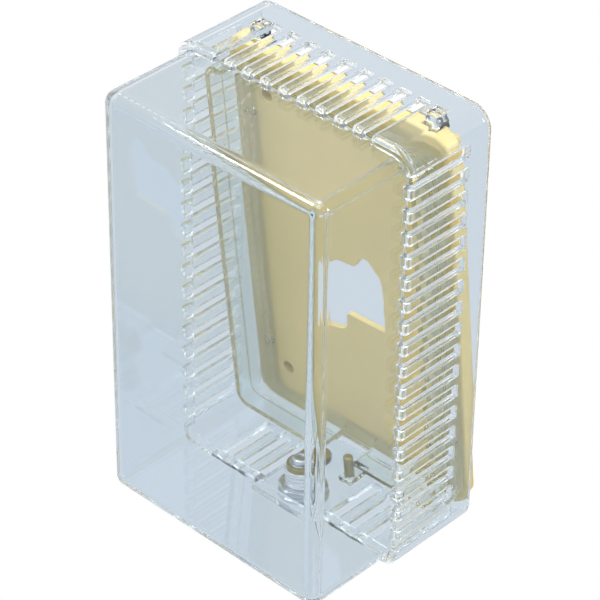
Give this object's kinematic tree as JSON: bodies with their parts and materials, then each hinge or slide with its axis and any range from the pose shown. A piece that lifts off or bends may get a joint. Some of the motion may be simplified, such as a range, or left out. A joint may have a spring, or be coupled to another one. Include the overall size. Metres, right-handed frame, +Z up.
{
  "type": "thermostat lock box",
  "caption": "Clear vented thermostat guard with a hooked cover, ring base, opaque wall plate and a cam lock in its underside, shown ajar.",
  "frame": {"origin": "the middle of the four wall screw holes, in the plane of the wall that the bosses stand on", "axes": "+Y into the wall, so the cover's front faces -Y; +Z up the wall; +X to the right as seen from the room"},
  "size_m": [0.096, 0.0883, 0.1596],
  "materials": {
    "clear_cover": "clear moulded polycarbonate, polished",
    "clear_ring": "clear moulded polycarbonate, polished",
    "gold_plastic": "opaque beige-gold moulded plastic, satin",
    "zinc_steel": "bright zinc-plated steel",
    "lock_chrome": "chrome-plated zinc casting",
    "lock_brass": "dull yellow brass"
  },
  "bodies": {
    "base": {"wall_plate": "gold_plastic", "ring_base": "clear_ring", "ring_screws": "zinc_steel", "keeper_pin": "lock_brass"},
    "cover": {"cover": "clear_cover", "lock_body": "lock_chrome", "lock_nut": "zinc_steel", "lock_washer": "zinc_steel"},
    "plug": {"lock_plug": "lock_brass", "lock_cam": "lock_brass", "cam_washer": "zinc_steel", "cam_screw": "zinc_steel", "wafer_springs": "zinc_steel"},
    "wafers": {"wafer_1": "lock_brass", "wafer_2": "lock_brass", "wafer_3": "lock_brass", "wafer_4": "lock_brass", "wafer_5": "lock_brass"}
  },
  "joints": [
    {"name": "cover_swing", "type": "hinge", "parent": "base", "child": "cover", "pos_m": [0, -0.0132, 0.0722], "axis": [-1, 0, 0], "range_deg": [-6.7, 75]},
    {"name": "lock_turn", "type": "hinge", "parent": "cover", "child": "plug", "pos_m": [0, -0.04533, -0.06418], "axis": [0, -0.1167, -0.9932], "range_deg": [0, 90]},
    {"name": "wafer_slide", "type": "slide", "parent": "plug", "child": "wafers", "axis": [0, 0.9932, -0.1167], "range_m": [0, 0.0005]}
  ]
}
